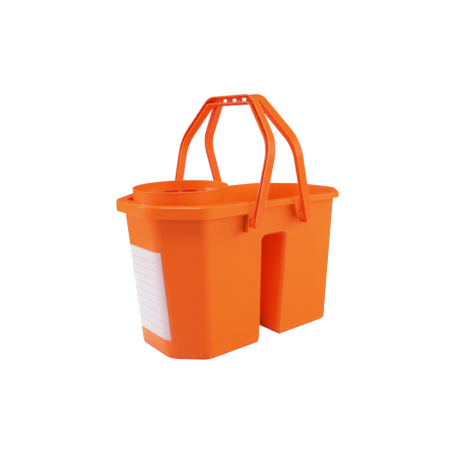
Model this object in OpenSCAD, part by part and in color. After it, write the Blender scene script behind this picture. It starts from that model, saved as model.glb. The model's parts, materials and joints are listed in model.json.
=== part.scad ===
// Double mop bucket: two wells joined at the top, wringer on the front rim, two carrying bails.
// Millimetres, +Z up, front end (wringer) towards -X, base on z = 0.

/* [Bucket body] */
// height of the bucket's own rim above the floor
body_h = 290; // [270:1:310]
// outer wall thickness
wall = 2.8; // [2.2:0.1:3.4]
// thickness of the well floors
floor_t = 3.2; // [2.8:0.1:4.5]
// distance from the origin to the front end at the base
base_front = 206.3; // [198:0.1:212]
// distance from the origin to the rear end at the base
base_rear = 223.2; // [216:0.2:228]
// half width at the base
base_hw = 102; // [98:0.5:106]
// half width of the wall at the rim
top_hw = 114; // [111:0.5:117]
// lean of the end walls: how far the front end moves out up to the rim
front_lean = 31.3; // [26:0.1:38]
// how far the rear end moves out up to the rim
rear_lean = 17.6; // [14:0.2:24]
// corner facet at the base, front, along X
front_facet = 55; // [48:1:62]
// the same facet along Y
front_facet_y = 50; // [44:1:56]
// corner facet at the rim, front, along X
front_facet_top = 68.5; // [62:0.5:75]
// corner facet at the base, rear, along X and along Y
rear_facet = 48; // [42:1:54]
// corner facet at the rim, rear, along X and along Y
rear_facet_top = 64; // [58:0.5:70]
// rounding where an end meets a corner facet
end_r = 40; // [30:1:46]
// rounding where a long side meets a corner facet
side_r = 28; // [20:1:34]
// rounding round the bottom edge
foot_r = 5; // [3:0.5:6]
// depth of the recess under each well
recess_d = 1.2; // [0.6:0.1:1.6]
// half width of that recess
recess_hw = 58; // [50:1:64]
// standing rim between the recess and the slot
stand_side = 26; // [20:1:32]
// standing rim between the recess and the end of the bucket
stand_end = 34; // [28:1:40]

/* [Slot between the wells] */
// middle of the slot and of the bails
mid_x = 2.6; // [-3:0.2:8]
// slot width
slot_w = 47; // [42:1:52]
// height of the slot's roof
slot_h = 220; // [205:1:228]
// rounding of the roof corners
slot_r = 10; // [6:0.5:14]
// rounding of the well corners beside the slot
slot_edge_r = 9; // [6:0.5:12]
// top of the divider that keeps the two wells apart
divider_z = 262; // [250:1:268]
// dip in the middle of the divider
divider_dip = 9; // [4:1:14]
// half width of that dip
divider_hw = 68; // [55:1:80]

/* [Bucket rim] */
// how far the rim stands out from the wall
flange = 11; // [9.5:0.5:12.5]
// thickness of the rim
flange_t = 2.8; // [2.2:0.1:3.4]
// depth of the rim's turned-down edge
flange_skirt = 11; // [8:0.5:14]
// rounding of the rim's outer edge
rim_r = 2.2; // [1:0.1:2.6]

/* [Bail pockets and pivots] */
// pivot distance from the slot middle
pivot_dx = 68; // [66:0.5:70]
// pivot height
pivot_z = 252; // [248:0.5:256]
// pocket opening beyond the pivot, towards the end of the bucket
pocket_out = 10; // [9.8:0.1:11.5]
// pocket opening before the pivot, towards the slot
pocket_in = 28; // [26:0.5:31]
// least clearance between a bail leg and the wall behind it
leg_play = 2; // [1:0.1:4]
// thickness of the pocket ribs
rib_t = 3; // [2.4:0.2:3.6]
// how far the upright rib reaches down past the pivot
rib_drop = 16; // [13:0.5:18]
// bevel at the upright rib's foot
rib_cut = 2; // [1:0.5:4]
// how far the leaning rib reaches down past the pivot
stop_drop = 4; // [2:0.5:6]
// distance of the leaning rib from the leg's eye
stop_gap = 4.5; // [3.5:0.5:6]
// how far the ribs stay inside the rim's edge
rib_inset = 0.4; // [0.2:0.1:1]
// radius of the moulded pivot pin
pin_r = 5; // [4.4:0.1:5.4]
// radial play of the pin in the bail
pin_play = 0.05; // [0.04:0.01:0.08]
// thickness of the leg outside the blind end of the pin
pin_cap = 3; // [2.4:0.1:4]
// play between the blind end of the bore and the pin
pin_end = 0.4; // [0.3:0.1:0.8]
// wall of the pivot boss round the pin
boss_t = 3; // [2:0.2:3.2]
// play between the pivot boss and the bail's leg
boss_play = 0.5; // [0.4:0.1:0.8]

/* [Bails] */
// half distance between the outer faces of the legs at the pivots
bail_hw = 139.1; // [137:0.1:142]
// width of the bar in the legs
leg_w = 9.6; // [8.6:0.2:10.6]
// width of the bar in the slanting parts
slant_w = 12.4; // [11:0.2:13]
// width of the bar in the grip
grip_w = 16.2; // [15:0.2:17.4]
// how far a leg moves out from its pivot to the bend
leg_splay = 4; // [2:0.2:7]
// depth of the bar
bar_t = 16.5; // [15.5:0.1:17.2]
// thickness of the bar's back
bar_web = 3; // [2.4:0.1:3.6]
// thickness of the bar's two sides
bar_side = 2.5; // [2:0.1:3]
// thickness of the ribs across the bar's channel
bar_rib = 2.4; // [1.8:0.1:3]
// how far those ribs lie below the channel's edge
bar_rib_set = 5; // [3:0.5:7]
// distance of the first rib from the grip's end, down the slanting part
bar_rib_first = 10; // [6:1:14]
// spacing of the ribs down the slanting part
bar_rib_pitch = 32; // [26:1:34]
// height of the bend above the pivot
bend_v = 145; // [138:1:152]
// height of the grip above the pivot
grip_v = 230.2; // [224:0.2:236]
// how much higher the rear bail's bend is
rear_bend_rise = 3; // [0:0.2:5]
// how much higher the rear bail's grip is
rear_grip_rise = 5.5; // [3:0.1:7]
// height above the pivot where the bar's channel starts
channel_v = 9; // [8.6:0.2:18]
// half length of the straight grip
grip_u = 64.2; // [60:0.1:69]
// radius of the bend
bend_r = 70; // [55:1:80]
// radius of the grip corners
grip_r = 27; // [20:0.5:32]
// spacing of the grip's windows
window_pitch = 29.5; // [27:0.5:32]
// length of a window
window_l = 21.5; // [17:0.5:23.5]
// rounding of a window's upper corners
window_r = 4; // [2:0.5:5]
// lean of the front bail towards the slot
front_tilt = 12.2; // [10:0.1:13.4]
// gap left between the two grips
grip_gap = 0.6; // [0.4:0.1:1.5]

/* [Wringer] */
// collar outer radius
collar_r = 89.6; // [86:0.2:91]
// collar wall
collar_t = 2.6; // [2.2:0.1:3.2]
// middle of the collar from the front of the rim
collar_in = 98.5; // [97:0.5:103]
// collar top above the bucket's rim
collar_h = 25.7; // [18:0.1:32]
// lean of the collar, lower at the front
collar_tilt = 1.8; // [0:0.1:2.4]
// how far the collar reaches down past the bucket's rim
collar_drop = 12; // [10:0.5:16]
// height of the bead round the collar's top
bead_h = 3; // [2:0.2:4]
// how far the bead stands out
bead_out = 0.9; // [0.5:0.1:1.5]
// top of the drainage slots above the bucket's rim
slot_top = 6.5; // [2:0.5:9]
// depth of the basket under the rim
basket_h = 115; // [95:1:140]
// radius of the basket's bottom
basket_r = 52; // [44:1:60]
// number of drainage slots round the basket
slots = 13; // [11:1:15]
// share of the pitch that a drainage slot takes
slot_share = 0.78; // [0.6:0.02:0.82]
// turn of the first drainage slot from the rear
slot_turn = 43.2; // [0:0.2:90]
// height of the drainage slots' lower end above the basket's bottom
slot_low = 12; // [8:1:20]
// number of holes round the basket's bottom
drains = 8; // [6:1:10]
// diameter of those holes
drain_d = 12; // [8:0.5:13]
// distance of those holes from the middle
drain_at = 32; // [26:0.5:34]
// diameter of the hole in the middle
drain_mid_d = 16; // [10:0.5:20]
// thickness of the surround over the bucket's rim
cap_t = 2.4; // [2.2:0.1:3.2]
// play between the surround and the bucket's rim
cap_play = 0.4; // [0.35:0.05:0.6]
// gap between the surround and the top of the rim
cap_rest = 0.3; // [0.2:0.05:0.4]
// rounding of the surround's outer edge
cap_r = 3.2; // [1.5:0.1:4]
// depth of the surround's lip inside the well
cap_lip = 7; // [5:0.5:10]
// depth of the surround's outer skirt
cap_skirt = 20; // [15:0.5:24]
// width of the webs that carry the collar, at its two sides
web_w = 52; // [40:1:64]
// width of the web at its front
web_front_w = 36; // [28:1:44]
// thickness of the webs
web_t = 3; // [2.4:0.1:3.6]
// thickness of the ribs under the webs
web_rib_t = 2.6; // [2:0.1:3.2]
// depth of those ribs
web_rib_h = 8; // [6:0.5:10]

/* [Label] */
// label height
label_h = 169; // [140:1:180]
// bottom edge of the label
label_z = 39; // [30:1:50]
// half width of the label, seen along X
label_hw = 56; // [48:0.5:66]
// label thickness
label_t = 0.4; // [0.3:0.05:0.6]

/* [Hidden] */
arc_n = 6;
orange = [0.93, 0.42, 0.1];
// small overlap that roots one shape in another, and overshoot of a cut
root = 1.2;
over = 1;
// corner facets keep one angle from the base to the rim
front_facet_top_y = front_facet_top * front_facet_y / front_facet;
lean_hw = top_hw - base_hw;
draft = atan(lean_hw / body_h);
radii = [end_r, side_r, side_r, end_r, end_r, side_r, side_r, end_r];
base_pts = eight(base_front, base_rear, base_hw, front_facet, front_facet_y, rear_facet);
top_pts = eight(base_front + front_lean, base_rear + rear_lean, top_hw, front_facet_top,
                front_facet_top_y, rear_facet_top);
// inner face of a bail leg, and where its pivot boss stands: on the wall or in a recess
leg_in = bail_hw - leg_w;
boss_y = min(base_hw + lean_hw * pivot_z / body_h, leg_in - leg_play);
front_pivot = mid_x - pivot_dx;
rear_pivot = mid_x + pivot_dx;
cap_end = front_pivot - pocket_out;
cap_out = flange + cap_play + cap_t;
cap_z = body_h + cap_rest;
cap_in = wall + cap_play + front_lean * cap_lip / body_h;
collar_x = -(base_front + front_lean) + collar_in;
leg_u = bail_hw - leg_w / 2;
bend_u = leg_u + leg_splay;
bend_a = atan2(bend_u - grip_u, grip_v - bend_v);
slant_normal = [cos(bend_a), sin(bend_a)];
grip_top = grip_v + grip_w / 2;
rear_grip_top = grip_top + rear_grip_rise;
// the rear bail leans until its grip meets the front one
grip_front_x = front_pivot + bar_t / 2 * cos(front_tilt) + grip_top * sin(front_tilt);
lean_need = rear_pivot - grip_front_x - grip_gap;
rear_tilt = asin(lean_need / norm([rear_grip_top, bar_t / 2])) - atan2(bar_t / 2, rear_grip_top);

// Outline helpers

function unit(v) = v / norm(v);

// corners of an outline with front end xf, rear end xr, half width hw and facets at its corners
function eight(xf, xr, hw, fx, fy, rear) = [
    [-xf, -(hw - fy)], [-(xf - fx), -hw], [xr - rear, -hw], [xr, -(hw - rear)],
    [xr, hw - rear], [xr - rear, hw], [-(xf - fx), hw], [-xf, hw - fy]];

// outward normal of an edge of an outline that runs counter-clockwise
function edge_normal(a, b) = let (d = unit(b - a)) [d[1], -d[0]];

// an outline moved out by d
function grow(pts, d) = let (n = len(pts)) [for (i = [0:n - 1])
    let (n1 = edge_normal(pts[(i + n - 1) % n], pts[i]), n2 = edge_normal(pts[i], pts[(i + 1) % n]))
    pts[i] + d * (n1 + n2) / (1 + n1 * n2)];

// the corner b between a and c, rounded by an arc of k steps
function corner(a, b, c, r, k) = r <= 0 ? [b] :
    let (u = unit(a - b), v = unit(c - b), half = acos(u * v) / 2,
         m = b + unit(u + v) * r / sin(half), p = b + u * r / tan(half),
         a0 = atan2(p[1] - m[1], p[0] - m[0]), s = sign(cross(b - a, c - b)),
         turn = s * (180 - 2 * half))
    [for (j = [0:k]) m + r * [cos(a0 + turn * j / k), sin(a0 + turn * j / k)]];

function rounded(pts, rs, k) = let (n = len(pts)) [for (i = [0:n - 1])
    each corner(pts[(i + n - 1) % n], pts[i], pts[(i + 1) % n], rs[i], k)];

// the wall's outline at a height, moved out by d
function wall_outline(z, d) = rounded(
    grow([for (i = [0:7]) base_pts[i] + (top_pts[i] - base_pts[i]) * z / body_h], d),
    [for (r = radii) r + d], arc_n);

// a solid through outlines of as many points each, from the lowest to the highest
module loft(rings) {
    n = len(rings[0]);
    last = len(rings) - 1;
    polyhedron(
        points = [for (r = rings) each r],
        faces = concat(
            [[for (i = [0:n - 1]) i]],
            [for (k = [0:last - 1]) for (i = [0:n - 1]) let (j = (i + 1) % n)
                each [[k * n + i, (k + 1) * n + i, (k + 1) * n + j],
                      [k * n + i, (k + 1) * n + j, k * n + j]]],
            [[for (i = [n - 1:-1:0]) last * n + i]]));
}

function at_height(pts, z) = [for (p = pts) [p[0], p[1], z]];

// a solid that follows the leaning wall, through outlines given as [z, d]
module wall_loft(levels) {
    loft([for (l = levels) at_height(wall_outline(l[0], l[1]), l[0])]);
}

// a solid block under the rim's outline moved out by d, with its upper edge rounded
module rim_block(d, z0, z1, r) {
    edge = [for (a = [0:22.5:90]) [d - r * (1 - cos(a)), z1 - r * (1 - sin(a))]];
    loft([for (p = concat([[d, z0]], edge)) at_height(wall_outline(body_h, p[0]), p[1])]);
}

// an upright block inside the rim's outline moved out by d
module rim_core(d, z0, z1) {
    translate([0, 0, z0]) linear_extrude(height = z1 - z0) polygon(wall_outline(body_h, d));
}

// an outline drawn in Y and Z, from x0 to x1
module across(x0, x1) {
    translate([x0, 0, 0]) rotate([90, 0, 90]) linear_extrude(height = x1 - x0) children();
}

// Double bucket

// the slot's arch, grown by g all round, without its foot
function arch_top(g) = let (h = slot_w / 2 + g, top = slot_h + g, n = 8) concat(
    corner([h, 0], [h, top], [-h, top], slot_r + g, n),
    corner([h, top], [-h, top], [-h, 0], slot_r + g, n));

// the slot between the wells, grown by g all round, opening out at the floor
module slot_strip(g) {
    h = slot_w / 2 + g;
    foot = h + foot_r * 0.8;
    translate([mid_x, 0, 0]) rotate([90, 0, 0]) linear_extrude(height = 3 * top_hw, center = true)
        polygon(concat([[-h, foot_r + over], [-foot, 0], [-foot, -over], [foot, -over], [foot, 0],
                        [h, foot_r + over]], arch_top(g)));
}

function arch(g) = let (h = slot_w / 2 + g) concat([[-h, -slot_edge_r], [h, -slot_edge_r]], arch_top(g));

// rounded edge between the slot's arch and the leaning long sides
module slot_flare(g) {
    r = slot_edge_r - g;
    last = 70;
    rings = concat(
        [at_height(arch(g - 0.05), -slot_edge_r - over)],
        [for (a = [10:15:last]) at_height(arch(slot_edge_r - r * cos(a)), r * sin(a) - slot_edge_r)],
        [at_height(arch(slot_edge_r - r * cos(last)), slot_edge_r)]);
    for (s = [0, 1]) mirror([0, s, 0])
        translate([mid_x, -base_hw, 0]) rotate([90 + draft, 0, 0]) loft(rings);
}

// upright web over the slot that keeps the two wells apart
module divider() {
    w = top_hw + over;
    dip = [for (a = [0:15:180]) [divider_hw * cos(a), divider_z - divider_dip * sin(a)]];
    across(mid_x - wall / 2, mid_x + wall / 2)
        polygon(concat([[-w, slot_h], [w, slot_h], [w, divider_z]], dip, [[-w, divider_z]]));
}

module bucket_shell() {
    foot = [for (a = [0:30:90]) [foot_r * (1 - cos(a)), -foot_r * (1 - sin(a))]];
    difference() {
        wall_loft(concat(foot, [[body_h, 0]]));
        slot_strip(0);
        slot_flare(0);
        leg_recess(0);
        difference() {
            wall_loft([[floor_t, -wall - foot_r], [floor_t + foot_r, -wall], [body_h + over, -wall]]);
            slot_strip(wall);
            slot_flare(wall);
            leg_recess(wall);
            divider();
        }
        foot_recess();
    }
}

// shallow recess under each well, so that the bucket stands on two broad rims
module foot_recess() {
    side = slot_w / 2 + stand_side;
    for (p = [[mid_x + side, base_rear - stand_end], [stand_end - base_front, mid_x - side]])
        translate([p[0], -recess_hw, -over]) cube([p[1] - p[0], 2 * recess_hw, recess_d + over]);
}

// rim with the openings for the four bail legs
module bucket_rim() {
    low = body_h - flange_skirt;
    difference() {
        rim_block(flange, low, body_h, rim_r);
        rim_core(flange - flange_t, low - over, body_h - flange_t);
        rim_core(-wall, low - over, body_h + over);
        leg_bay(min(top_hw, leg_in - leg_play), low - over, 0);
    }
}

// room for the four bail legs outside y0 and above z0, grown by g at its ends
module leg_bay(y0, z0, g) {
    for (m = [0, 1]) translate([mid_x, 0, 0]) mirror([m, 0, 0])
        for (s = [0, 1]) mirror([0, s, 0])
            translate([pivot_dx - pocket_in - g, y0, z0])
                cube([pocket_in + pocket_out + 2 * g, 2 * bail_hw, 2 * body_h - z0]);
}

// recess of the wall where a leg comes close to it
module leg_recess(g) {
    leg_bay(leg_in - leg_play - g, pivot_z - bar_t / 2 - leg_play - g, g);
}

// one pivot pocket on the near side: stop ribs, boss and pin, pivot at x = 0
module pocket() {
    y_out = top_hw + flange - rib_inset;
    z_low = pivot_z - rib_drop;
    y_low = base_hw + lean_hw * z_low / body_h - root;
    top = body_h - flange_t + 0.1;
    // upright rib at the end of the rim
    across(pocket_out, pocket_out + rib_t)
        polygon([[-top_hw + root, top], [-y_out, top], [-y_out, z_low + rib_cut], [rib_cut - y_out, z_low],
                 [-y_low, z_low]]);
    // leaning rib on the slot side
    rib_top = -pocket_in - rib_t;
    rib_low = -bar_t / 2 - stop_gap;
    rib_z = pivot_z - stop_drop;
    translate([0, -boss_y + root, 0]) rotate([90, 0, 0]) linear_extrude(height = y_out - boss_y + root)
        polygon([[rib_top, top], [rib_low - rib_t, rib_z], [rib_low, rib_z], [rib_top + rib_t, top]]);
    // boss and pin, blind in the bail's leg
    translate([0, -boss_y + root, pivot_z]) rotate([90, 0, 0]) {
        cylinder(r = pin_r + boss_t, h = leg_in - boss_play - boss_y + root, $fn = 64);
        cylinder(r = pin_r, h = bail_hw - pin_cap - pin_end - boss_y + root, $fn = 64);
    }
}

module double_bucket() {
    color(orange) union() {
        bucket_shell();
        bucket_rim();
        for (m = [0, 1]) translate([mid_x, 0, 0]) mirror([m, 0, 0]) translate([pivot_dx, 0, 0])
            for (s = [0, 1]) mirror([0, s, 0]) pocket();
    }
}

// Bails

// where two lines meet that are moved by d1 and d2 along their normals
function meet(n1, d1, n2, d2) = let (c = n1 * n2) (n1 * (d1 - d2 * c) + n2 * (d2 - d1 * c)) / (1 - c * c);

// half length of the grip of a bail with its bend and its grip at these heights
function grip_end(bend, grip) = bend_u - (grip - bend) * tan(bend_a);

// one edge of such a bail's bar, moved out by w in its leg, slanting part and grip
function bail_edge(w, v0, bend, grip) = [
    [leg_u + leg_splay * v0 / bend + w[0], v0],
    [bend_u, bend] + meet(unit([bend, -leg_splay]), w[0], slant_normal, w[1]),
    [grip_end(bend, grip), grip] + meet(slant_normal, w[1], [0, 1], w[2])];

// outline of the bent bar, drawn in by c on both sides, legs starting at height v0
function bail_outline(c, v0, bend, grip) =
    let (h = [leg_w / 2 - c, slant_w / 2 - c, grip_w / 2 - c],
         o = bail_edge(h, v0, bend, grip), i = bail_edge(-h, v0, bend, grip))
    rounded(
        concat([o[0], o[1], o[2]], [for (k = [2:-1:0]) [-o[k][0], o[k][1]]],
               [for (k = [0:2]) [-i[k][0], i[k][1]]], [i[2], i[1], i[0]]),
        [0, bend_r + h[1], grip_r + h[2], grip_r + h[2], bend_r + h[1], 0, 0, bend_r - h[1],
         grip_r - h[2], grip_r - h[2], bend_r - h[1], 0], 10);

// a bail with its pivots on the Y axis, its bend and its grip at these heights; the channel opens towards -X
module bail(bend, grip) {
    rib_x = -bar_t / 2 + bar_rib_set;
    half_l = grip_end(bend, grip);
    wl = window_l / 2;
    wh = grip_w / 2 - bar_side;
    difference() {
        union() {
            across(-bar_t / 2, bar_t / 2) polygon(bail_outline(0, 0, bend, grip));
            for (s = [-1, 1]) translate([0, s * leg_u + leg_w / 2, 0]) rotate([90, 0, 0])
                cylinder(d = bar_t, h = leg_w, $fn = 64);
        }
        difference() {
            across(-bar_t / 2 - over, bar_t / 2 - bar_web)
                polygon(bail_outline(bar_side, channel_v, bend, grip));
            // ribs across the two slanting parts
            for (s = [-1, 1]) for (k = [0:2]) let (d = bar_rib_first + k * bar_rib_pitch)
                translate([rib_x, s * (half_l + d * sin(bend_a)), grip - d * cos(bend_a)])
                    rotate([s * bend_a, 0, 0]) translate([0, -grip_w / 2, -bar_rib / 2])
                        cube([bar_t, grip_w, bar_rib]);
        }
        // windows through the grip's back
        across(0, bar_t) for (k = [-1:1]) translate([k * window_pitch, grip])
            polygon(rounded([[-wl, -wh], [wl, -wh], [wl, wh], [-wl, wh]], [0, 0, window_r, window_r], arc_n));
        // blind bores for the pivot pins
        for (s = [0, 1]) mirror([0, s, 0]) translate([0, -bail_hw + pin_cap, 0]) rotate([-90, 0, 0])
            cylinder(r = pin_r + pin_play, h = leg_w, $fn = 64);
    }
}

module front_bail() {
    color(orange) translate([front_pivot, 0, pivot_z]) rotate([0, front_tilt, 0]) bail(bend_v, grip_v);
}

module rear_bail() {
    color(orange) translate([rear_pivot, 0, pivot_z]) rotate([0, -rear_tilt, 0])
        rotate([0, 0, 180]) bail(bend_v + rear_bend_rise, grip_v + rear_grip_rise);
}

// Wringer

// collar with the basket's cone hung inside it
module basket() {
    top = collar_h;
    in_r = collar_r - collar_t;
    low = -basket_h;
    edge = bead_h / 5;
    // where the cone leaves the collar, outside and inside
    cone_out = slot_top - 4;
    cone_in = slot_top + 7;
    difference() {
        rotate_extrude($fn = 96) polygon([
            [0, low], [basket_r, low], [in_r, cone_out], [in_r, -collar_drop], [collar_r, -collar_drop],
            [collar_r, top - bead_h], [collar_r + bead_out, top - bead_h + bead_out],
            [collar_r + bead_out, top - edge], [collar_r + bead_out - edge, top],
            [in_r + edge, top], [in_r, top - edge], [in_r, cone_in],
            [basket_r - collar_t, low + collar_t], [0, low + collar_t]]);
        // drainage slots, no deeper than the collar's inner face
        intersection() {
            for (k = [0:slots - 1]) rotate([0, 0, k * 360 / slots + slot_turn]) drain_slot();
            translate([0, 0, low]) cylinder(r = in_r + 0.4, h = basket_h + top, $fn = 96);
        }
        // drainage holes in the bottom
        translate([0, 0, low - over]) {
            for (k = [0:drains - 1]) rotate([0, 0, k * 360 / drains]) translate([drain_at, 0, 0])
                cylinder(d = drain_d, h = collar_t + 2 * over, $fn = 32);
            cylinder(d = drain_mid_d, h = collar_t + 2 * over, $fn = 32);
        }
    }
}

// one slot of the basket's cone, along +X, with its upper corners cut off
module drain_slot() {
    a = 180 / slots * slot_share;
    low = basket_r * sin(a);
    wide = (collar_r - collar_t) * sin(a);
    cut = 2;
    z0 = slot_low - basket_h;
    across(0, collar_r) polygon([[-low, z0], [low, z0], [wide, slot_top - cut], [wide - cut, slot_top],
                                 [cut - wide, slot_top], [-wide, slot_top - cut]]);
}

// surround that sits over the rim of the front well
module surround() {
    top = cap_z + cap_t;
    low = top - cap_skirt;
    difference() {
        rim_block(cap_out, low, top, cap_r);
        // room for the bucket's rim
        difference() {
            rim_core(cap_out - cap_t, low - over, cap_z);
            rim_core(-cap_in, cap_z - cap_lip, cap_z + over);
        }
        // the well's mouth
        rim_core(-cap_in - cap_t, low - 2 * over, top + over);
        translate([cap_end, -2 * top_hw, 0]) cube([2 * base_rear, 4 * top_hw, 2 * body_h]);
    }
}

// webs with ribs under them, which carry the collar from the surround's lip
module webs() {
    z0 = cap_z - cap_lip;
    inner = collar_r - 2 * collar_t;
    in_y = top_hw - cap_in - cap_t / 2;
    in_x = base_front + front_lean - cap_in - cap_t / 2;
    for (s = [0, 1]) mirror([0, s, 0]) {
        translate([collar_x - web_w / 2, inner, z0]) cube([web_w, in_y - inner, web_t]);
        for (k = [0, 0.5, 1]) translate([collar_x + (k - 0.5) * web_w - k * web_rib_t, inner, z0 - web_rib_h])
            cube([web_rib_t, in_y - cap_t - inner, web_rib_h + over]);
    }
    translate([-in_x, -web_front_w / 2, z0]) cube([in_x + collar_x - inner, web_front_w, web_t]);
}

module wringer_basket() {
    color(orange) union() {
        translate([collar_x, 0, body_h]) rotate([0, -collar_tilt, 0]) basket();
        surround();
        difference() {
            webs();
            translate([collar_x, 0, 0]) cylinder(r = collar_r - collar_t / 2, h = 2 * body_h, $fn = 96);
        }
    }
}

// Label

// plain paper sticker that follows the front end round to its corner facets
module front_label() {
    top = label_z + label_h;
    color([0.96, 0.95, 0.96]) intersection() {
        difference() {
            wall_loft([[label_z, label_t], [top, label_t]]);
            wall_loft([[label_z - over, 0], [top + over, 0]]);
        }
        translate([-2 * base_front, -label_hw, 0]) cube([2 * base_front, 2 * label_hw, body_h]);
    }
}

double_bucket();
wringer_basket();
front_bail();
rear_bail();
front_label();
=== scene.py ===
# Double mop bucket with a lift-off wringer and two carrying bails, dressed for a studio picture.
# Metres, the same frame as the solids: front end (wringer) towards -X, base on z = 0.

import json
import math

import bpy
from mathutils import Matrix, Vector

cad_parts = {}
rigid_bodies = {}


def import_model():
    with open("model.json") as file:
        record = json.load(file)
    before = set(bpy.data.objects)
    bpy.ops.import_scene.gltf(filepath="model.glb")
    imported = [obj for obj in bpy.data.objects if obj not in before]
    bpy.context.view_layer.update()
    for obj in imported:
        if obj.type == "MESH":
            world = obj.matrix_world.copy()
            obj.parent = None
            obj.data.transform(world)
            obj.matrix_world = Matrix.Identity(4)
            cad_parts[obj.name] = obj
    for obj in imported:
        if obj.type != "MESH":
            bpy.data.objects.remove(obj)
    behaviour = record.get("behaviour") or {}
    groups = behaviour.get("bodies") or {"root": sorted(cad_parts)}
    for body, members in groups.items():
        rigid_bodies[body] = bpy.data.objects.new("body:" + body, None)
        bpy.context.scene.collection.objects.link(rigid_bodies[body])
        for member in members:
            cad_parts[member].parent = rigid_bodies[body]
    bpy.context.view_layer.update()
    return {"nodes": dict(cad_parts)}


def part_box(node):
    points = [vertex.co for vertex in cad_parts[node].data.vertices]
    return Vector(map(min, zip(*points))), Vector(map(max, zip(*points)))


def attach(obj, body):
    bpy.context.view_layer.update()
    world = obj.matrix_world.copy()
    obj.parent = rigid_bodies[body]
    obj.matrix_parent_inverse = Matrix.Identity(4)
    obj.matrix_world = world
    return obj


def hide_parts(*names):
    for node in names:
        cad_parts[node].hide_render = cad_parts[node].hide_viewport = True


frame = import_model()

# Camera of the picture
CAMERA_PLACE = (-0.65305, -0.7672, 0.4204)
CAMERA_TURN = (math.radians(90 - 11.42), 0.0, math.radians(-39.32))
CAMERA_SENSOR = 36.0
CAMERA_LENS = 38.37
CAMERA_CLIP = (0.05, 60.0)

# Finishing of the meshes
MERGE_STEP = 0.00001
FLAT_ANGLE = math.radians(0.6)
SMOOTH_ANGLE = math.radians(32)

# Slot between the wells: its middle plane, how near and how far from it the walls' points lie, and the
# height below which they move
SLOT_MIDDLE = 0.0026
SLOT_WALLS = (0.010, 0.038)
SLOT_ROOF = 0.226

# Draft of the slot: how far each wall leans in, and the height where it has leaned in fully
SLOT_DRAW = 0.006
SLOT_DRAW_HEIGHT = 0.2

# Foot of the slot's walls: how high and how far it is drawn back, and the heights of its rings of edges
SLOT_FOOT_HEIGHT = 0.018
SLOT_FOOT_SPREAD = 0.006
SLOT_FOOT_CUTS = (0.0015, 0.0045, 0.0085, 0.013, 0.018)

# Tones of the orange plastic
DEEP_ORANGE = (0.88, 0.118, 0.006)
BRIGHT_ORANGE = (0.91, 0.130, 0.008)
BAIL_DEEP = (0.85, 0.094, 0.005)
BAIL_BRIGHT = (0.88, 0.104, 0.006)
RUBBED_ORANGE = (0.90, 0.30, 0.12)
# painted highlight tone for the outer edges, standing in for light caught on their rounding
EDGE_HIGHLIGHT_ORANGE = (0.93, 0.24, 0.06)

# Gloss of each moulding, as its least and most roughness
BUCKET_GLOSS = (0.19, 0.23)
WRINGER_GLOSS = (0.18, 0.22)
BAIL_GLOSS = (0.20, 0.25)

# Marks of handling on each moulding: amount of rubbed lines, and how high the scuffs reach
BUCKET_MARKS = (0.6, 0.03)
WRINGER_MARKS = (0.5, 0.01)
BAIL_MARKS = (0.9, 0.01)

# Skin of the plastic: each effect with the scale, detail and roughness of its noise
SKIN_EFFECTS = (
    ("Drift", 9.0, 3.0, 0.45),
    ("Scatter", 260.0, 4.0, 0.5),
    ("Ripple", 38.0, 1.0, 0.5),
)
SCATTER_SPAN = (0.3, 0.7)
RIPPLE_STRENGTH = 0.05
RIPPLE_DISTANCE = 0.0006
PLASTIC_IOR = 1.49
PLASTIC_SPECULAR = 0.35

# Rubbed lines: turn and stretch of their noise, the part of it that shows, their dullness and depth
RUB_TURN = (0.5, 0.3, 0.9)
RUB_STRETCH = (420.0, 38.0, 160.0)
RUB_DETAIL = 2.0
RUB_SPAN = (0.62, 0.78)
RUB_DULLNESS = 0.12
RUB_DEPTH = -0.06

# Scuffs: their noise, the part of it that shows, how much they lighten and how dull they are
SCUFF_SCALE = 120.0
SCUFF_DETAIL = 5.0
SCUFF_SPAN = (0.48, 0.7)
SCUFF_TONE_SHARE = 0.12
SCUFF_DULLNESS = 0.2

# Painted edge highlights: how far they reach in, from which openness they show, and the noise of their
# stretches
EDGE_REACH = 0.0014
EDGE_SAMPLES = 12
EDGE_SPAN = (0.95, 0.6)
STRETCH_SCALE = 55.0
STRETCH_DETAIL = 3.0
STRETCH_SPAN = (0.3, 0.6)
STRETCH_STRENGTH = (0.55, 1.0)

# Label paper: tones, fibre and cloud noise, roughness and the relief of its fibres
PAPER_DEEP = (0.44, 0.42, 0.445)
PAPER_BRIGHT = (0.52, 0.495, 0.52)
FIBRE_SCALE = 900.0
FIBRE_DETAIL = 4.0
FIBRE_STRENGTH = 0.15
FIBRE_DISTANCE = 0.0002
CLOUD_SCALE = 45.0
CLOUD_DETAIL = 2.0
CLOUD_SHARE = 0.5
PAPER_GLOSS = (0.42, 0.6)

# Ruled lines on the label
RULE_GREY = (0.25, 0.24, 0.26)
RULE_PITCH = 0.016
RULE_WIDTH = 0.0009
RULE_MARGIN = 0.012

# Studio floor, and how bright the floor and backdrop look in the picture
FLOOR_SIZE = 40.0
FLOOR_DROP = 0.0002
FLOOR_GREY = 0.45
FLOOR_ROUGHNESS = 0.8
FLOOR_SPECULAR = 0.1
FLOOR_SHOWN = 0.92
FLOOR_SHADE_REACH = (0.4, 1.2)
BACKDROP_SHOWN = (2.0, 1.0, 1.0)

# Floor as the gloss of the plastic shows it, a painted pool of light: near and far brightness, round a
# patch by the front end
FLOOR_GLOSS = (1.0, 0.08)
FLOOR_GLOSS_PATCH = (-0.40, 0.18, 0.0)
FLOOR_GLOSS_REACH = (0.12, 0.42)

# Soft lights: name, turn, rise, distance, size, power and whether the gloss shows them;
# and the glow of the surroundings
LIT_POINT = (0.0, 0.0, 0.2)
SOFTBOXES = (
    ("left_softbox", 140, 12, 1.8, 0.8, 32, False),
    ("left_glint", 150, 14, 1.6, 0.8, 9, True),
    ("right_softbox", 318, 18, 1.8, 1.0, 43, False),
    ("front_fill", 280, 10, 1.6, 0.8, 6, False),
    ("back_softbox", 68, 52, 1.8, 1.2, 20, False),
    ("front_softbox", 214, 62, 1.8, 0.5, 22, True),
)
SURROUND_GLOW = 0.08

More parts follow.
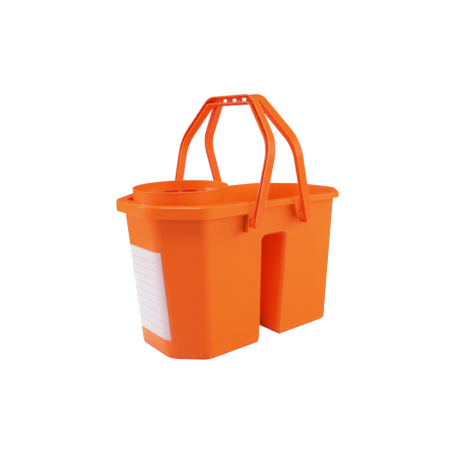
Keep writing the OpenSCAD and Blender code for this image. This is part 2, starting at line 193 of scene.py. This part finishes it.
# Film response to red: light falling in, and how bright it prints, in linear steps
FILM_WHITE = BACKDROP_SHOWN
FILM_STEPS = ((0.1, 0.105), (0.25, 0.27), (0.4, 0.5), (0.55, 0.7), (0.75, 0.8), (1.0, 0.845),
              (1.5, 0.895))

# Sockets of a Mix node, by place: the share, two tones with their mix, and two values with their mix
MIX_SHARE = 0
MIX_TONES = (6, 7)
MIXED_TONE = 2
MIX_VALUES = (2, 3)
MIXED_VALUE = 0


# Hand tools

def leave_edit_mode():
    if bpy.context.mode != "OBJECT":
        bpy.ops.object.mode_set(mode="OBJECT")


def pick_only(piece):
    leave_edit_mode()
    bpy.ops.object.select_all(action="DESELECT")
    piece.select_set(True)
    bpy.context.view_layer.objects.active = piece


def copy_of_node(node_name, piece_name):
    """A copy of a solid, with its loose triangles merged and its flat faces joined."""
    pick_only(frame["nodes"][node_name])
    bpy.ops.object.duplicate()
    piece = bpy.context.view_layer.objects.active
    bpy.ops.object.parent_clear(type="CLEAR_KEEP_TRANSFORM")
    for key in list(piece.keys()):
        del piece[key]
    piece.name = piece_name
    piece.data.name = piece_name
    bpy.ops.mesh.customdata_custom_splitnormals_clear()
    bpy.ops.object.mode_set(mode="EDIT")
    bpy.ops.mesh.select_all(action="SELECT")
    bpy.ops.mesh.remove_doubles(threshold=MERGE_STEP)
    bpy.ops.mesh.dissolve_limited(angle_limit=FLAT_ANGLE)
    bpy.ops.object.mode_set(mode="OBJECT")
    return piece


def shade_evenly(piece):
    """Smooth shading over the rounded parts, with the flat faces kept flat."""
    pick_only(piece)
    bpy.ops.object.shade_smooth_by_angle(angle=SMOOTH_ANGLE)
    even = piece.modifiers.new("even_shading", "WEIGHTED_NORMAL")
    even.keep_sharp = True
    bpy.ops.object.modifier_apply(modifier=even.name)


def cut_levels(piece, heights):
    """Adds a ring of edges round the piece at each height."""
    pick_only(piece)
    bpy.ops.object.mode_set(mode="EDIT")
    for height in heights:
        bpy.ops.mesh.select_all(action="SELECT")
        bpy.ops.mesh.bisect(plane_co=(0, 0, height), plane_no=(0, 0, 1))
    bpy.ops.object.mode_set(mode="OBJECT")


def draw_slot_in(piece):
    """Leans the slot's two walls towards each other up to its roof, and draws their foot back."""
    cut_levels(piece, SLOT_FOOT_CUTS)
    nearest, farthest = SLOT_WALLS
    for corner in piece.data.vertices:
        off = corner.co.x - SLOT_MIDDLE
        height = max(0.0, corner.co.z)
        if nearest < abs(off) < farthest and height < SLOT_ROOF:
            lean = SLOT_DRAW * min(1.0, height / SLOT_DRAW_HEIGHT)
            below = max(0.0, 1.0 - height / SLOT_FOOT_HEIGHT)
            spread = SLOT_FOOT_SPREAD * (1.0 - math.sqrt(1.0 - below * below))
            corner.co.x += math.copysign(spread - lean, off)
    piece.data.update()


def give(piece, material, body, node_name):
    """Dresses a piece, and puts it in the place of its solid."""
    piece.data.materials.clear()
    piece.data.materials.append(material)
    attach(piece, body)
    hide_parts(node_name)


# Tools for the nodes

def opaque(tone):
    return (*tone, 1.0)


def add(tree, kind, **values):
    node = tree.nodes.new(kind)
    for key, value in values.items():
        setattr(node, key, value)
    return node


def feed(tree, source, target):
    """Joins a socket to the target, or sets a plain number, vector or colour on it."""
    if isinstance(source, bpy.types.NodeSocket):
        tree.links.new(source, target)
    else:
        target.default_value = source


def add_noise(tree, position, scale, detail):
    noise = add(tree, "ShaderNodeTexNoise")
    feed(tree, position, noise.inputs["Vector"])
    feed(tree, scale, noise.inputs["Scale"])
    feed(tree, detail, noise.inputs["Detail"])
    return noise


def add_range(tree, source, span, result=(0.0, 1.0)):
    """Maps a value from a span onto a range of results, and never past its ends."""
    ranged = add(tree, "ShaderNodeMapRange")
    feed(tree, source, ranged.inputs["Value"])
    for side, value in zip(("From Min", "From Max", "To Min", "To Max"), (*span, *result)):
        feed(tree, value, ranged.inputs[side])
    return ranged


def add_math(tree, operation, *values):
    """The result of a Math node, fed with sockets or plain numbers."""
    step = add(tree, "ShaderNodeMath", operation=operation)
    for value, target in zip(values, step.inputs):
        feed(tree, value, target)
    return step.outputs["Value"]


def add_tone_mix(tree, share, first, second):
    """The mix of two tones, each a socket or a colour."""
    mix = add(tree, "ShaderNodeMix", data_type="RGBA")
    for value, place in zip((share, first, second), (MIX_SHARE, *MIX_TONES)):
        feed(tree, value, mix.inputs[place])
    return mix.outputs[MIXED_TONE]


def add_value_mix(tree, share, first, second):
    """The mix of two values, each a socket or a number."""
    mix = add(tree, "ShaderNodeMix", data_type="FLOAT")
    for value, place in zip((share, first, second), (MIX_SHARE, *MIX_VALUES)):
        feed(tree, value, mix.inputs[place])
    return mix.outputs[MIXED_VALUE]


def add_relief(tree, shader, height, strength, distance):
    """A bump on the shader's normal."""
    bump = add(tree, "ShaderNodeBump")
    feed(tree, strength, bump.inputs["Strength"])
    feed(tree, distance, bump.inputs["Distance"])
    feed(tree, height, bump.inputs["Height"])
    feed(tree, bump.outputs["Normal"], shader.inputs["Normal"])


def new_group(name, inputs, outputs):
    """A shader node group, with its input and output nodes; an input has a name, a type and a value."""
    group = bpy.data.node_groups.new(name, "ShaderNodeTree")
    for socket_name, socket_type, value in inputs:
        socket = group.interface.new_socket(socket_name, in_out="INPUT", socket_type=socket_type)
        if value is not None:
            socket.default_value = value
    for socket_name in outputs:
        group.interface.new_socket(socket_name, in_out="OUTPUT", socket_type="NodeSocketFloat")
    return group, add(group, "NodeGroupInput"), add(group, "NodeGroupOutput")


def new_material(name):
    """A material, its nodes, its shader and the socket of a point's place on the piece."""
    material = bpy.data.materials.new(name)
    material.use_nodes = True
    tree = material.node_tree
    place = add(tree, "ShaderNodeTexCoord").outputs["Object"]
    return material, tree, tree.nodes["Principled BSDF"], place


# Effects that the mouldings share

def moulded_skin_group():
    """Slow colour drift of moulded plastic, its fine gloss scatter and a shallow surface ripple."""
    inputs = [("Position", "NodeSocketVector", None)]
    for name, scale, detail, roughness in SKIN_EFFECTS:
        inputs.append((name + " Scale", "NodeSocketFloat", scale))
    group, into, out = new_group("moulded_skin", inputs, [effect[0] for effect in SKIN_EFFECTS])
    for name, scale, detail, roughness in SKIN_EFFECTS:
        noise = add_noise(group, into.outputs["Position"], into.outputs[name + " Scale"], detail)
        feed(group, roughness, noise.inputs["Roughness"])
        feed(group, noise.outputs["Fac"], out.inputs[name])
    return group


def handling_marks_group():
    """Fine rubbed lines all over, and scuffs that fade out above a height."""
    group, into, out = new_group(
        "handling_marks",
        [("Position", "NodeSocketVector", None), ("Rub Amount", "NodeSocketFloat", 1.0),
         ("Scuff Height", "NodeSocketFloat", 0.03)],
        ["Rub", "Scuff"])
    position = into.outputs["Position"]
    stretch = add(group, "ShaderNodeMapping")
    feed(group, position, stretch.inputs["Vector"])
    feed(group, RUB_TURN, stretch.inputs["Rotation"])
    feed(group, RUB_STRETCH, stretch.inputs["Scale"])
    lines = add_noise(group, stretch.outputs["Vector"], 1.0, RUB_DETAIL)
    thin = add_range(group, lines.outputs["Fac"], RUB_SPAN)
    rub = add_math(group, "MULTIPLY", thin.outputs["Result"], into.outputs["Rub Amount"])
    feed(group, rub, out.inputs["Rub"])
    split = add(group, "ShaderNodeSeparateXYZ")
    feed(group, position, split.inputs["Vector"])
    low = add_range(group, split.outputs["Z"], (0.0, into.outputs["Scuff Height"]), (1.0, 0.0))
    patches = add_noise(group, position, SCUFF_SCALE, SCUFF_DETAIL)
    worn = add_range(group, patches.outputs["Fac"], SCUFF_SPAN)
    scuff = add_math(group, "MULTIPLY", low.outputs["Result"], worn.outputs["Result"])
    feed(group, scuff, out.inputs["Scuff"])
    return group


def painted_edge_highlight_group():
    """Painted highlights along the outer edges, in uneven stretches, standing in for light caught on
    their rounding.
    """
    group, into, out = new_group(
        "painted_edge_highlight",
        [("Position", "NodeSocketVector", None), ("Reach", "NodeSocketFloat", EDGE_REACH)],
        ["Edge"])
    thickness = add(group, "ShaderNodeAmbientOcclusion", inside=True, only_local=True,
                    samples=EDGE_SAMPLES)
    feed(group, into.outputs["Reach"], thickness.inputs["Distance"])
    edge = add_range(group, thickness.outputs["AO"], EDGE_SPAN)
    stretches = add_noise(group, into.outputs["Position"], STRETCH_SCALE, STRETCH_DETAIL)
    uneven = add_range(group, stretches.outputs["Fac"], STRETCH_SPAN, STRETCH_STRENGTH)
    both = add_math(group, "MULTIPLY", edge.outputs["Result"], uneven.outputs["Result"])
    feed(group, both, out.inputs["Edge"])
    return group


# Materials

def polypropylene(name, groups, tones, gloss_range, marks):
    """Glossy moulded polypropylene: two close tones drifting, light marks of handling, painted edge
    highlights.
    """
    deep, bright, rubbed, highlight_tone = (opaque(tone) for tone in tones)
    material, tree, shader, place = new_material(name)
    # the third group paints highlights along the outer edges
    surface, wear, highlight_mask = (add(tree, "ShaderNodeGroup", node_tree=group) for group in groups)
    for effect in (surface, wear, highlight_mask):
        feed(tree, place, effect.inputs["Position"])
    wear.inputs["Rub Amount"].default_value, wear.inputs["Scuff Height"].default_value = marks
    # colour: the drifting tone, then the scuffs, then the painted highlights along the outer edges
    tone = add_tone_mix(tree, surface.outputs["Drift"], deep, bright)
    scuff_share = add_math(tree, "MULTIPLY", wear.outputs["Scuff"], SCUFF_TONE_SHARE)
    scuffed_tone = add_tone_mix(tree, scuff_share, tone, rubbed)
    highlighted_tone = add_tone_mix(tree, highlight_mask.outputs["Edge"], scuffed_tone, highlight_tone)
    feed(tree, highlighted_tone, shader.inputs["Base Color"])
    # roughness: the gloss scatter, duller on rubbed lines and scuffs
    gloss = add_range(tree, surface.outputs["Scatter"], SCATTER_SPAN, gloss_range)
    dull = add_math(tree, "MULTIPLY_ADD", wear.outputs["Rub"], RUB_DULLNESS, gloss.outputs["Result"])
    scuffed = add_math(tree, "MULTIPLY_ADD", wear.outputs["Scuff"], SCUFF_DULLNESS, dull)
    feed(tree, scuffed, shader.inputs["Roughness"])
    # relief: the ripple, with the rubbed lines cut in
    depth = add_math(tree, "MULTIPLY_ADD", wear.outputs["Rub"], RUB_DEPTH, surface.outputs["Ripple"])
    add_relief(tree, shader, depth, RIPPLE_STRENGTH, RIPPLE_DISTANCE)
    shader.inputs["IOR"].default_value = PLASTIC_IOR
    shader.inputs["Specular IOR Level"].default_value = PLASTIC_SPECULAR
    return material


def label_paper(middle_z, half_height, half_width):
    """White paper sticker: fibre mottle, and faint ruled lines inside a margin, left for writing on."""
    material, tree, shader, place = new_material("label_paper")
    fibre = add_noise(tree, place, FIBRE_SCALE, FIBRE_DETAIL).outputs["Fac"]
    cloud = add_noise(tree, place, CLOUD_SCALE, CLOUD_DETAIL).outputs["Fac"]
    mottle = add_value_mix(tree, CLOUD_SHARE, fibre, cloud)
    paper = add_tone_mix(tree, mottle, opaque(PAPER_DEEP), opaque(PAPER_BRIGHT))
    split = add(tree, "ShaderNodeSeparateXYZ")
    feed(tree, place, split.inputs["Vector"])
    # height above the label's middle, folded into one pitch of the ruled lines
    height = add_math(tree, "SUBTRACT", split.outputs["Z"], middle_z)
    fold = add_math(tree, "PINGPONG", height, RULE_PITCH / 2)
    line = add_math(tree, "LESS_THAN", fold, RULE_WIDTH / 2)
    # the lines end at the margin, above, below and at both sides
    for offset, half_size in ((height, half_height), (split.outputs["Y"], half_width)):
        away = add_math(tree, "ABSOLUTE", offset)
        inside = add_math(tree, "LESS_THAN", away, half_size - RULE_MARGIN)
        line = add_math(tree, "MULTIPLY", line, inside)
    ruled = add_tone_mix(tree, line, paper, opaque(RULE_GREY))
    feed(tree, ruled, shader.inputs["Base Color"])
    sheen = add_range(tree, cloud, (0.0, 1.0), PAPER_GLOSS)
    feed(tree, sheen.outputs["Result"], shader.inputs["Roughness"])
    add_relief(tree, shader, fibre, FIBRE_STRENGTH, FIBRE_DISTANCE)
    return material


def floor_paint():
    """Pale floor that the camera sees nearly white, with only a faint shadow on it."""
    material, tree, shader, place = new_material("studio_floor")
    shader.inputs["Roughness"].default_value = FLOOR_ROUGHNESS
    shader.inputs["Specular IOR Level"].default_value = FLOOR_SPECULAR
    shader.inputs["Emission Color"].default_value = opaque(BACKDROP_SHOWN)
    ray = add(tree, "ShaderNodeLightPath")
    reach = add(tree, "ShaderNodeVectorMath", operation="LENGTH")
    feed(tree, place, reach.inputs[0])
    shown = add_range(tree, reach.outputs["Value"], FLOOR_SHADE_REACH, (FLOOR_SHOWN, 1.0))
    level = add_math(tree, "MULTIPLY", ray.outputs["Is Camera Ray"], shown.outputs["Result"])
    feed(tree, level, shader.inputs["Emission Strength"])
    # in the gloss of the plastic only a patch by the front end is bright: a painted pool of light on
    # the floor, which only the plastic's reflections show
    patch = add(tree, "ShaderNodeVectorMath", operation="DISTANCE")
    feed(tree, place, patch.inputs[0])
    feed(tree, FLOOR_GLOSS_PATCH, patch.inputs[1])
    mirrored = add_range(tree, patch.outputs["Value"], FLOOR_GLOSS_REACH, FLOOR_GLOSS)
    mirrored.interpolation_type = "SMOOTHSTEP"
    grey = opaque((FLOOR_GREY, FLOOR_GREY, FLOOR_GREY))
    tone = add_tone_mix(tree, ray.outputs["Is Glossy Ray"], grey, mirrored.outputs["Result"])
    feed(tree, tone, shader.inputs["Base Color"])
    return material


# Pieces

def make_bucket(material):
    piece = copy_of_node("double_bucket", "bucket_shell")
    draw_slot_in(piece)
    shade_evenly(piece)
    give(piece, material, "bucket", "double_bucket")
    return piece


def make_wringer(material):
    piece = copy_of_node("wringer_basket", "wringer_sieve")
    shade_evenly(piece)
    give(piece, material, "wringer", "wringer_basket")
    return piece


def make_bail(node_name, piece_name, body, material):
    piece = copy_of_node(node_name, piece_name)
    shade_evenly(piece)
    give(piece, material, body, node_name)


def make_label():
    piece = copy_of_node("front_label", "paper_label")
    bpy.ops.object.shade_smooth_by_angle(angle=SMOOTH_ANGLE)
    low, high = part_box("front_label")
    paper = label_paper((low[2] + high[2]) / 2, (high[2] - low[2]) / 2, (high[1] - low[1]) / 2)
    give(piece, paper, "bucket", "front_label")
    return piece


# Studio

def make_floor():
    leave_edit_mode()
    bpy.ops.object.select_all(action="DESELECT")
    bpy.ops.mesh.primitive_plane_add(size=FLOOR_SIZE, location=(0, 0, -FLOOR_DROP))
    floor = bpy.context.view_layer.objects.active
    floor.name = "studio_floor"
    floor.data.materials.append(floor_paint())
    return floor


def make_softbox(name, turn, rise, distance, size, power, in_gloss):
    """A square soft light at a turn from +X towards +Y and a rise over the floor, both in degrees."""
    light = bpy.data.lights.new(name, "AREA")
    light.shape = "SQUARE"
    light.size = size
    light.energy = power
    lamp = bpy.data.objects.new(name, light)
    bpy.context.scene.collection.objects.link(lamp)
    across = distance * math.cos(math.radians(rise))
    up = distance * math.sin(math.radians(rise))
    away = Vector((across * math.cos(math.radians(turn)), across * math.sin(math.radians(turn)), up))
    lamp.visible_glossy = in_gloss
    lamp.location = Vector(LIT_POINT) + away
    lamp.rotation_euler = (-away).to_track_quat("-Z", "Y").to_euler()
    return lamp


def flag_off_bails(lamp, pieces):
    """Keeps a light on the given pieces and so off the bails, as a flag on a stand does."""
    lit = bpy.data.collections.new(lamp.name + "_lit")
    for piece in pieces:
        lit.objects.link(piece)
    lamp.light_linking.receiver_collection = lit


def make_world():
    """Dim even surroundings, which the camera sees as a white backdrop."""
    world = bpy.data.worlds.new("studio_surroundings")
    bpy.context.scene.world = world
    world.use_nodes = True
    tree = world.node_tree
    ray = add(tree, "ShaderNodeLightPath")
    glow = opaque((SURROUND_GLOW, SURROUND_GLOW, SURROUND_GLOW))
    shown = add_tone_mix(tree, ray.outputs["Is Camera Ray"], glow, opaque(BACKDROP_SHOWN))
    feed(tree, shown, tree.nodes["Background"].inputs["Color"])


def set_film():
    """Response of the film: red is full in the middle tones and slow to burn out."""
    view = bpy.context.scene.view_settings
    view.view_transform = "Standard"
    view.use_curve_mapping = True
    response = view.curve_mapping
    response.white_level = FILM_WHITE
    red = response.curves[0]
    for light, shown in FILM_STEPS:
        red.points.new(light / FILM_WHITE[0], shown)
    response.update()


def make_camera():
    data = bpy.data.cameras.new("picture_camera")
    data.sensor_width = CAMERA_SENSOR
    data.lens = CAMERA_LENS
    data.clip_start, data.clip_end = CAMERA_CLIP
    camera = bpy.data.objects.new("picture_camera", data)
    bpy.context.scene.collection.objects.link(camera)
    camera.location = CAMERA_PLACE
    camera.rotation_euler = CAMERA_TURN
    bpy.context.scene.camera = camera


make_camera()
groups = (moulded_skin_group(), handling_marks_group(), painted_edge_highlight_group())
orange = (DEEP_ORANGE, BRIGHT_ORANGE, RUBBED_ORANGE, EDGE_HIGHLIGHT_ORANGE)
bail_orange = (BAIL_DEEP, BAIL_BRIGHT, RUBBED_ORANGE, EDGE_HIGHLIGHT_ORANGE)
bucket_plastic = polypropylene("bucket_plastic", groups, orange, BUCKET_GLOSS, BUCKET_MARKS)
wringer_plastic = polypropylene("wringer_plastic", groups, orange, WRINGER_GLOSS, WRINGER_MARKS)
bail_plastic = polypropylene("bail_plastic", groups, bail_orange, BAIL_GLOSS, BAIL_MARKS)
bucket = make_bucket(bucket_plastic)
wringer = make_wringer(wringer_plastic)
make_bail("front_bail", "front_carry_bail", "front_handle", bail_plastic)
make_bail("rear_bail", "rear_carry_bail", "rear_handle", bail_plastic)
label = make_label()
floor = make_floor()
lamps = {softbox[0]: make_softbox(*softbox) for softbox in SOFTBOXES}
flag_off_bails(lamps["left_softbox"], (bucket, wringer, label, floor))
make_world()
set_film()
